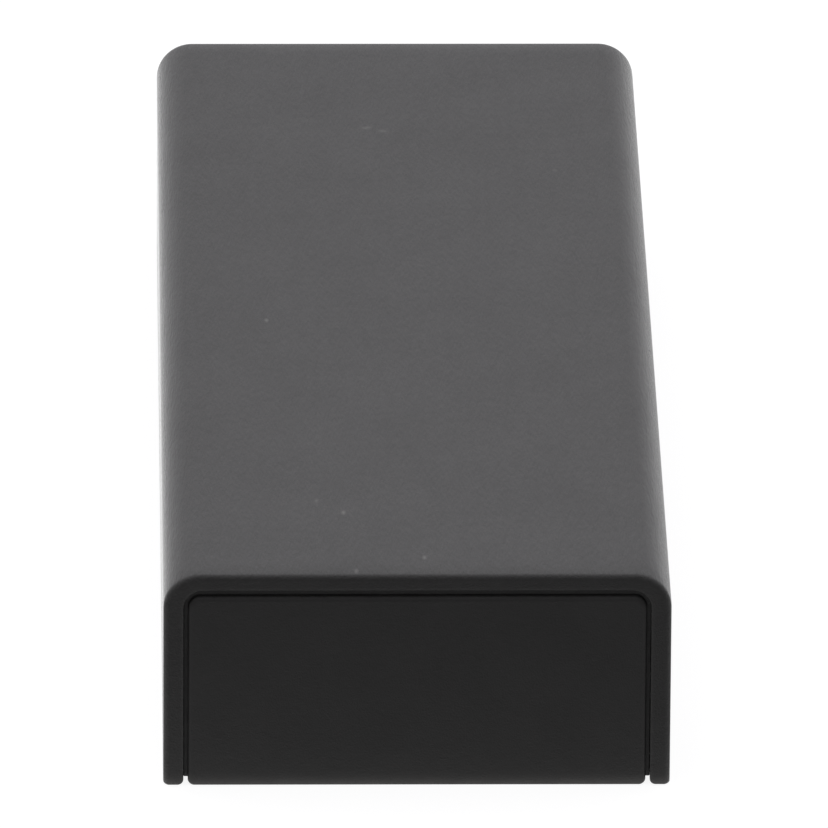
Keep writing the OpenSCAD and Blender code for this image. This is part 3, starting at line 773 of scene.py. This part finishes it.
def dust(where, scale, share):
    """A mask of round specks in a share of the cells."""
    cells = step("TexVoronoi", {"Vector": where, "Scale": scale})
    lot = step("SeparateColor", {0: cells["Color"]})[0]
    speck = remap(cells["Distance"], *SPECK_EDGE, 1.0, 0.0, soft=True)
    return {"Mask": calc("MULTIPLY", calc("LESS_THAN", lot, share), speck)}


def fine_scuffs(where, stretch, scale):
    """A mask of thin lines in a few patches."""
    drawn = step("Mapping", {"Vector": where, "Scale": stretch, "Rotation": LINE_TURN})[0]
    away = calc("ABSOLUTE", calc("SUBTRACT", noise(drawn, scale, 0.0), LINE_MIDDLE))
    patches = remap(noise(where, PATCH_SCALE, 1.0), *PATCH_RANGE)
    return {"Mask": calc("MULTIPLY", remap(away, 0.0, LINE_HALF, 1.0, 0.0), patches)}


dust_group = new_group("dust", dust, Scale=500.0, Share=0.04)
scuff_group = new_group("fine scuffs", fine_scuffs, Stretch=UNIT, Scale=100.0)

# %% [markdown]
# ## Rolled lines
# Sheet metal keeps the faint lines of the rolls that made it. The group squeezes a noise across the rolling
# direction, so its spots turn into long streaks, and gives them out as a height and as a value for roughness.

# %% Rolled line group
BAND_SCALE, BAND_SHARE = 0.12, 0.5


def rolled_lines(where, stretch, scale):
    """Fine streaks, and the same streaks in broader bands."""
    squeezed = step("Mapping", {"Vector": where, "Scale": stretch})[0]
    streaks = noise(squeezed, scale, 4.0, 0.7)
    bands = noise(squeezed, calc("MULTIPLY", scale, BAND_SCALE), 3.0)
    return {"Height": streaks, "Streak": blend(BAND_SHARE, streaks, bands)}


rolled_group = new_group("rolled lines", rolled_lines, Stretch=UNIT, Scale=4000.0)

# %% [markdown]
# ## What every material needs
# Each material starts from Blender's standard shader and the piece's own coordinates, so that a pattern stays
# with its piece. All have an uneven tone and worn edges, so the start places those groups too.

# %% Material helpers
WEAR_GAIN = 5.0


def use_group(group, where, **values):
    """Places a shader group with its own values, and gives what it puts out."""
    return step("Group", {"Vector": where, **values}, node_tree=group)


def start_material(name, scale, dark, light, edge_reach, gain=WEAR_GAIN):
    """A new material, its shader, coordinates, uneven tone and mask of worn edges."""
    material = bpy.data.materials.new(name)
    material.use_nodes = True
    shader = material.node_tree.nodes["Principled BSDF"]
    where = step("TexCoord", {}, material.node_tree)["Object"]
    tone = use_group(tone_group, where, Scale=scale, Dark=dark, Light=light)
    wear = use_group(wear_group, where, Radius=edge_reach, Gain=gain)["Mask"]
    return material, shader, where, tone, wear


def grey(value, tint=UNIT):
    """A colour of one brightness with a slight tint."""
    return (value * tint[0], value * tint[1], value * tint[2], 1.0)


def rough_after(base, mask, change):
    """Roughness that a mask raises or lowers."""
    return calc("MULTIPLY_ADD", mask, change, base, clamp=True)


def relief(height, strength, depth):
    """A normal tipped by a height, with the depth of the relief in metres."""
    return step("Bump", {"Strength": strength, "Distance": depth, "Height": height})[0]


print("material helpers: use_group, start_material, grey, rough_after, relief")

# %% [markdown]
# ## Moulded plastic
# Matt plastic is grain and mottling first, then paler edges, some dust and, where asked, a painted floor glow
# at the feet and single marks. On the housing the paler edges are partly a painted sheen. Seen along its face
# it turns shinier, since a low ray meets only the tips of the grain, so the angle of view lowers the
# roughness.
# One number for the roughness would leave the long edges too dull.

# %% Moulded plastic
MOTTLE_SCALE, DUST_SCALE, DUST_TONE = 260.0, 420.0, 2.6
SCUFF_SCALE, SCUFF_STRETCH = 130.0, (1.0, 0.03, 1.0)
WORN_ROUGH, SCUFF_ROUGH = -0.08, -0.03
GLANCING_FROM, GLANCING_SHEEN = 0.64, 0.43
GRAIN_DEPTH, MARK_CORE = 0.00011, 0.2


def single_mark(where, centre, half_size, turn):
    """A mask for one soft spot or stroke on the cover's top, in millimetres and degrees."""
    local = step("Mapping", {"Vector": where, "Location": Vector((*centre, top_z)) * MM,
                             "Rotation": (0.0, 0.0, math.radians(turn)),
                             "Scale": Vector((*half_size, 1.0)) * MM}, vector_type="TEXTURE")[0]
    away = step("VectorMath", {0: local}, operation="LENGTH")["Value"]
    return remap(away, MARK_CORE, 1.0, 1.0, 0.0)


def moulded_plastic(name, dark, light, ior, rough, grain_scale, bump, dust_share=0.0, tint=UNIT,
                    edge_reach=0.00016, edge_wear_and_sheen_tone=1.35, floor_glow_tone=None, grain_stretch=UNIT, marks=()):
    """Matt moulded plastic: grain, mottling, paler edges (worn, and on the housing a painted sheen), some
    dust and single marks.
    """
    material, shader, where, tone, wear = start_material(
        name, MOTTLE_SCALE, grey(dark, tint), grey(light, tint), edge_reach)
    grain = use_group(grain_group, where, Stretch=grain_stretch, Scale=grain_scale)
    specks = use_group(dust_group, where, Scale=DUST_SCALE, Share=dust_share)["Mask"]
    scuffs = use_group(scuff_group, where, Stretch=SCUFF_STRETCH, Scale=SCUFF_SCALE)["Mask"]
    # Paler edges: wear, and on the housing also a painted sheen where the rounded edges catch the white
    # sides.
    color = mix_colors(wear, tone["Color"], grey(light * edge_wear_and_sheen_tone, tint))
    # Painted reflection: the feet turn paler near the floor, standing for the white card that they mirror.
    if floor_glow_tone:
        color = mix_colors(use_group(floor_glow_group, where)["Mask"], color, grey(floor_glow_tone, tint))
    color = mix_colors(specks, color, grey(light * DUST_TONE, tint))
    for centre, half_size, turn, mark_tone in marks:
        color = mix_colors(single_mark(where, centre, half_size, turn), color, grey(mark_tone, tint))
    facing = step("LayerWeight", {"Blend": 0.5}, where.id_data)["Facing"]
    roughness = remap(grain["Sheen"], *MIDDLE, *rough)
    roughness = rough_after(roughness, remap(facing, GLANCING_FROM, 1.0), -GLANCING_SHEEN)
    roughness = rough_after(roughness, wear, WORN_ROUGH)
    roughness = rough_after(roughness, scuffs, SCUFF_ROUGH)
    fill(shader, {"Base Color": color, "Roughness": roughness, "IOR": ior,
                  "Normal": relief(grain["Height"], bump, GRAIN_DEPTH)})
    return material


print("recipe: moulded_plastic")

# %% [markdown]
# ## The plastics
# Cover and tray come out of the same kind of tool, but the tray is a touch darker. The cover's top has a few
# pale specks and a faint scuff of two strokes, each a mark of its own. The plug's insert and the socket's
# tongue are finer grained, and a chip's resin is nearly smooth.

# %% Plastics
SPECK_HALF, SCUFF_TONE = (0.17, 0.42), 0.06
SPECKS = [((-8.53, -3.4), 0.095), ((-5.84, -31.7), 0.06), ((-4.26, -33.5), 0.095),
          ((0.43, -40.35), 0.09), ((-3.61, -42.3), 0.075)]
STROKES = [((-2.0, 28.27), (0.5, 0.3), 18), ((-0.97, 27.7), (0.42, 0.28), -17)]
top_marks = [(centre, SPECK_HALF, 0, tone) for centre, tone in SPECKS]
top_marks += [(*stroke, SCUFF_TONE) for stroke in STROKES]
WARM_BLACK, DRAWN_OUT = (1.02, 1.0, 0.95), (1.0, 0.14, 1.0)
# The housing's wide, very pale edge band is partly wear and partly a painted highlight along its rounded
# edges.
HOUSING = {"ior": 1.42, "grain_scale": 8500.0, "tint": WARM_BLACK, "edge_reach": 0.0004, "edge_wear_and_sheen_tone": 2.2,
           "floor_glow_tone": 0.12, "grain_stretch": DRAWN_OUT}
finishes = {
    "cover_plastic": moulded_plastic(
        "cover plastic", 0.0125, 0.0155, rough=(0.43, 0.47), bump=1.0, dust_share=0.012, marks=top_marks,
        **HOUSING),
    "tray_plastic": moulded_plastic(
        "tray plastic", 0.0115, 0.0145, rough=(0.45, 0.49), bump=0.6, dust_share=0.01, **HOUSING),
    "insert_plastic": moulded_plastic(
        "insert plastic", 0.011, 0.016, ior=1.45, rough=(0.34, 0.46), grain_scale=14000.0, bump=0.03),
    "chip_resin": moulded_plastic(
        "chip resin", 0.016, 0.024, ior=1.5, rough=(0.42, 0.56), grain_scale=16000.0, bump=0.04),
}
print("plastics:", len(finishes), "with", len(top_marks), "single marks on the cover")

# %% [markdown]
# ## The metals
# Plated sheet takes rolled lines, tarnish and bright worn edges. The plug's shell is nickel plate, the shield
# cans are tinned, the heat plates are plain aluminium and the contacts carry a flash of gold. They differ
# only in tone, sheen and rolling direction, so a table of values feeds one recipe.

# %% Metals
ROLL_SCALE, ROLL_DEPTH, TARNISH_SCALE = 3600.0, 0.000008, 380.0
SHEET_EDGE, SHEET_EDGE_TONE = 0.00012, 1.15
SHEET_SCUFF_SCALE, SHEET_SCUFF_STRETCH, SHEET_SCUFF_ROUGH = 300.0, (1.0, 0.3, 1.0), 0.12


def plated_sheet(name, dark, light, rough, stretch, bump, tint):
    """Rolled and plated sheet metal: streaks, tarnish, bright edges and scuffs."""
    material, shader, where, tone, wear = start_material(
        name, TARNISH_SCALE, grey(dark, tint), grey(light, tint), SHEET_EDGE)
    rolled = use_group(rolled_group, where, Stretch=stretch, Scale=ROLL_SCALE)
    scuffs = use_group(scuff_group, where, Stretch=SHEET_SCUFF_STRETCH, Scale=SHEET_SCUFF_SCALE)["Mask"]
    color = mix_colors(wear, tone["Color"], grey(min(1.0, light * SHEET_EDGE_TONE), tint))
    roughness = rough_after(remap(rolled["Streak"], *MIDDLE, *rough), scuffs, SHEET_SCUFF_ROUGH)
    fill(shader, {"Base Color": color, "Roughness": roughness, "Metallic": 1.0,
                  "Normal": relief(rolled["Height"], bump, ROLL_DEPTH)})
    return material


SHEETS = {
    "plug_steel": ("nickel-plated plug sheet", 0.5, 0.62, (0.2, 0.34), (1, 0.04, 1), 0.25, (1, 0.98, 0.94)),
    "socket_steel": ("nickel-plated socket sheet", 0.48, 0.6, (0.2, 0.34), (0.04, 1, 1), 0.2,
                     (1, 0.99, 0.96)),
    "contact_metal": ("gold-flashed strip", 0.72, 0.82, (0.16, 0.28), (0.06, 0.06, 1), 0.15, (1, 0.73, 0.31)),
    "can_metal": ("tinned can sheet", 0.46, 0.58, (0.28, 0.44), (1, 0.05, 1), 0.2, (1, 1, 0.97)),
    "spreader_aluminium": ("rolled aluminium", 0.54, 0.64, (0.3, 0.46), (1, 0.03, 1), 0.3, (0.98, 0.99, 1)),
    "antenna_metal": ("tinned antenna strip", 0.58, 0.7, (0.24, 0.36), (0.05, 1, 1), 0.2, (1, 0.89, 0.58)),
}
finishes.update({slot: plated_sheet(*values) for slot, values in SHEETS.items()})
print("plastics and metals:", len(finishes))

# %% [markdown]
# ## The board
# The board is glass cloth under green mask, so its weave shows faintly under a glossy coat and its tracks
# show as paler lines. Waves in two directions make the weave, and the thin joints of a brick pattern stand
# for the tracks, which is enough for a piece that the housing hides.

# %% Board
MASK_DARK, MASK_LIGHT, MASK_SCALE = (0.014, 0.075, 0.034, 1), (0.024, 0.12, 0.052, 1), 240.0
TRACK_TONE, BARE_EDGE_TONE = (0.03, 0.15, 0.06, 1), (0.2, 0.19, 0.12, 1)
MASK_ROUGH, SOFT_EDGE = (0.24, 0.36), 0.0002
WEAVE_STRENGTH, WEAVE_DEPTH = 0.3, 0.00001


def board_laminate():
    """Solder mask over woven glass: crossing threads, tracks under the mask and a clear coat."""
    material, shader, where, tone, wear = start_material(
        "board laminate", MASK_SCALE, MASK_DARK, MASK_LIGHT, SOFT_EDGE)
    threads = {"Vector": where, "Scale": 900.0, "Distortion": 0.6}
    warp, weft = (step("TexWave", threads, bands_direction=way)[1] for way in "XY")
    tracks = step("TexBrick", {"Vector": where, "Scale": 500.0, "Mortar Size": 0.012, "Brick Width": 0.9,
                               "Row Height": 0.35})[1]
    color = mix_colors(wear, mix_colors(tracks, tone["Color"], TRACK_TONE), BARE_EDGE_TONE)
    fill(shader, {"Base Color": color, "Roughness": remap(tone["Value"], *MIDDLE, *MASK_ROUGH),
                  "Normal": relief(calc("MULTIPLY", warp, weft), WEAVE_STRENGTH, WEAVE_DEPTH),
                  "Coat Weight": 0.4, "Coat Roughness": 0.12})
    return material


finishes["board_laminate"] = board_laminate()
print("board:", finishes["board_laminate"].name)

# %% [markdown]
# ## Foam, pads and ceramics
# Foam is pitted with cells, the thermal pads are soft and cloudy, ferrite is pressed powder and the
# capacitors are fired ceramic. All four are a cell pattern over an uneven tone, each at its own scale, with
# painted shade darkening the middle of each pore.

# %% Foam, pads and ceramics
CLOUD_SCALE, CELL_GAIN, CELL_EDGE_TONE, CELL_DEPTH = 0.12, 4.0, 1.3, 0.00003
CELL_REACH, PORE_SHADE_RANGE = 0.6, (0.7, 1.1)


def celled(name, dark, light, rough, scale, bump):
    """Foam, gel or pressed powder: a cell pattern for its pores over an uneven tone, with painted shade in
    the pores.
    """
    material, shader, where, tone, wear = start_material(
        name, scale * CLOUD_SCALE, (*dark, 1), (*light, 1), SOFT_EDGE, CELL_GAIN)
    pores = step("TexVoronoi", {"Vector": where, "Scale": scale})["Distance"]
    # Painted shade: the colour darkens towards the middle of each pore, where the bump makes a pit.
    painted_pore_shade = remap(pores, 0.0, CELL_REACH, *PORE_SHADE_RANGE)
    pitted = step("VectorMath", {0: tone["Color"], 1: painted_pore_shade}, operation="MULTIPLY")[0]
    color = mix_colors(wear, pitted, [min(1.0, v * CELL_EDGE_TONE) for v in (*light, 1)])
    fill(shader, {"Base Color": color, "Roughness": remap(tone["Value"], *MIDDLE, *rough),
                  "Normal": relief(pores, bump, CELL_DEPTH)})
    return material


CELLED = {
    "gasket_foam": ("closed-cell foam", (0.022, 0.022, 0.022), (0.034, 0.034, 0.035), (0.75, 0.9),
                    6000.0, 0.7),
    "thermal_gel": ("filled silicone pad", (0.17, 0.25, 0.33), (0.23, 0.31, 0.39), (0.5, 0.65), 2600.0, 0.2),
    "inductor_ferrite": ("pressed ferrite", (0.045, 0.045, 0.048), (0.07, 0.07, 0.074), (0.55, 0.7),
                         9000.0, 0.35),
    "capacitor_ceramic": ("fired ceramic", (0.29, 0.18, 0.09), (0.4, 0.27, 0.15), (0.4, 0.55), 12000.0, 0.12),
}
finishes.update({slot: celled(*values) for slot, values in CELLED.items()})
print("finishes:", len(finishes))

# %% [markdown]
# ## Dressing every node
# The record names a material slot for each CAD node. The same names are the keys of the finishes, so one
# loop dresses the carried-over nodes and the four rebuilt pieces.

# %% Dress the pieces
slot_of = {part["node"]: part["material_slot"] for part in frame["record"]["subparts"]}
dressed = [(nodes[name], slot_of[name]) for name in kept_nodes]
dressed += [(piece, piece["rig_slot"]) for piece in (cover, tray, plug_shell, socket_shell)]
for piece, slot in dressed:
    piece.data.materials.clear()
    piece.data.materials.append(finishes[slot])
print("dressed:", len(dressed), "pieces")

# %% [markdown]
# ## The floor
# The bar lies on a wide pale card. A round sheet just below the part's zero level is enough for it.

# %% Floor
FLOOR_RADIUS, FLOOR_LEVEL = 2.0, -1e-5
floor_mesh = bpy.data.meshes.new("floor")
floor_rim = place(arc((0, 0), FLOOR_RADIUS, 0, 360, 96)[:-1], "z", FLOOR_LEVEL)
floor_mesh.from_pydata(floor_rim.tolist(), [], [tuple(range(len(floor_rim)))])
floor = bpy.data.objects.new("floor", floor_mesh)
bpy.context.scene.collection.objects.link(floor)
print("floor: radius", FLOOR_RADIUS, "m, facing up:", floor_mesh.polygons[0].normal.z > 0)

# %% [markdown]
# ## What the bar mirrors
# The rims of the bar mirror the card, and in the photograph that isn't one even white. For mirror rays the
# card
# carries painted shade and light: it darkens towards the camera, where a studio is dark, and a darker strip
# beside the right flank is a painted shadow of the bar. It is white again far behind the bar, and a narrow
# strip at the near foot is painted light. A studio would use dark flags. Here a colour ramp across and three
# fades along give the tones.

# %% Floor in the mirror
OWN_WHITE, MIRROR_FRONT_SHADE = 0.89, 0.05
# Painted shadow: the dip between 14 and 27 mm is the bar's shadow beside its right flank.
MIRROR_SHADE_ACROSS = [(-80, 0.6), (-40, 0.66), (-24, 0.85), (14, 0.72), (19, 0.44), (27, 0.55), (40, 0.95),
                   (80, 0.95)]
MIRRORED_REACH = 80
FRONT_FADE, BACK_FADE, BACK_SHARE = (-0.105, -0.005), (0.05, 0.12), 0.6
FOOT_FADE, FOOT_LIMIT = (-0.0465, -0.0432), -0.042

floor_material = bpy.data.materials.new("pale card")
floor_material.use_nodes = True
tree = floor_material.node_tree
tree.nodes.clear()
spot = step("SeparateXYZ", {0: step("TexCoord", {}, tree)["Object"]})
ramp = step("ValToRGB", {0: remap(spot["X"], -MIRRORED_REACH * MM, MIRRORED_REACH * MM)})[0]
stops = ramp.node.color_ramp.elements
stops.remove(stops[1])
for number, (x, tone) in enumerate(MIRROR_SHADE_ACROSS):
    stop = stops.new((x / MIRRORED_REACH + 1) / 2) if number else stops[0]
    stop.color = grey(tone)
painted_mirror_tone = mix_colors(remap(spot["Y"], *BACK_FADE, 0.0, BACK_SHARE), ramp, grey(OWN_WHITE))
painted_mirror_tone = mix_colors(remap(spot["Y"], *FRONT_FADE, soft=True), grey(MIRROR_FRONT_SHADE), painted_mirror_tone)
# Painted light: a white strip on the card at the near foot.
in_front = calc("LESS_THAN", spot["Y"], FOOT_LIMIT)
foot_light_strip = calc("MULTIPLY", remap(spot["Y"], *FOOT_FADE), in_front)
painted_mirror_tone = mix_colors(foot_light_strip, painted_mirror_tone, grey(OWN_WHITE))
print("mirrored floor:", len(stops), "tones across")

# %% [markdown]
# ## The card's white
# For the camera most of the card's white is its own and the rest is lit, so the background stays white while
# the bar still leaves a soft shadow. Mirror rays meet the tones above, and all other rays meet plain card,
# which throws light back at the bar. From below it is clear, so that the underside can be looked at.

# %% Floor white
LIT_WHITE, CARD_WHITE = 0.2, 0.86
path = step("LightPath", {}, tree)
seen = calc("ADD", path["Is Camera Ray"], path["Is Glossy Ray"])
seen = calc("ADD", seen, path["Is Transmission Ray"], clamp=True)
own = step("Emission", {"Color": mix_colors(path["Is Camera Ray"], painted_mirror_tone, grey(OWN_WHITE))})[0]
card, lit = (step("BsdfDiffuse", {"Color": grey(tone)}, tree)[0] for tone in (CARD_WHITE, LIT_WHITE))
either = step("MixShader", {0: seen, 1: card, 2: step("AddShader", {0: lit, 1: own})[0]})[0]
below = step("NewGeometry", {}, tree)["Backfacing"]
one_sided = step("MixShader", {0: below, 1: either, 2: step("BsdfTransparent", {}, tree)[0]})[0]
step("OutputMaterial", {"Surface": one_sided})
floor_material.cycles.emission_sampling = "NONE"
floor.data.materials.append(floor_material)
print("floor white: own", OWN_WHITE, "lit", LIT_WHITE, "card", CARD_WHITE)

# %% [markdown]
# ## The light
# The photograph was lit by a large soft light above and behind the bar, with little from the camera's side:
# the top is grey with reflected light and the near end is almost black. A smooth world does the same, bright
# overhead and behind and dim in front, where lamps would leave hot spots. The camera itself sees plain white.

# %% World
BRIGHT, IN_FRONT, HORIZON = 1.215, 0.21, 0.65
BRIGHT_SIDE, BRIGHT_SPREAD = (-0.2, 0.62, 0.76), (-0.35, 0.85)
HAZE_TOP, SKY_TINT = 0.4, (1.0, 0.988, 1.022)
world = bpy.data.worlds.new("soft studio")
world.use_nodes = True
tree = world.node_tree
tree.nodes.clear()
toward = step("TexCoord", {}, tree)["Generated"]
facing = step("VectorMath", {0: toward, 1: BRIGHT_SIDE}, operation="DOT_PRODUCT")["Value"]
tent = remap(facing, *BRIGHT_SPREAD, IN_FRONT, BRIGHT, soft=True)
haze = remap(step("SeparateXYZ", {0: toward})["Z"], 0.0, HAZE_TOP, HORIZON, soft=True)
to_camera = step("LightPath", {}, tree)["Is Camera Ray"]
strength = blend(to_camera, calc("MULTIPLY", tent, haze), 1.0)
step("OutputWorld", {"Surface": step("Background", {"Color": grey(1.0, SKY_TINT), "Strength": strength})[0]})
bpy.context.scene.world = world
bpy.context.scene.view_settings.view_transform = "Standard"
print("world: bright side", BRIGHT, "front", IN_FRONT, "horizon", HORIZON)
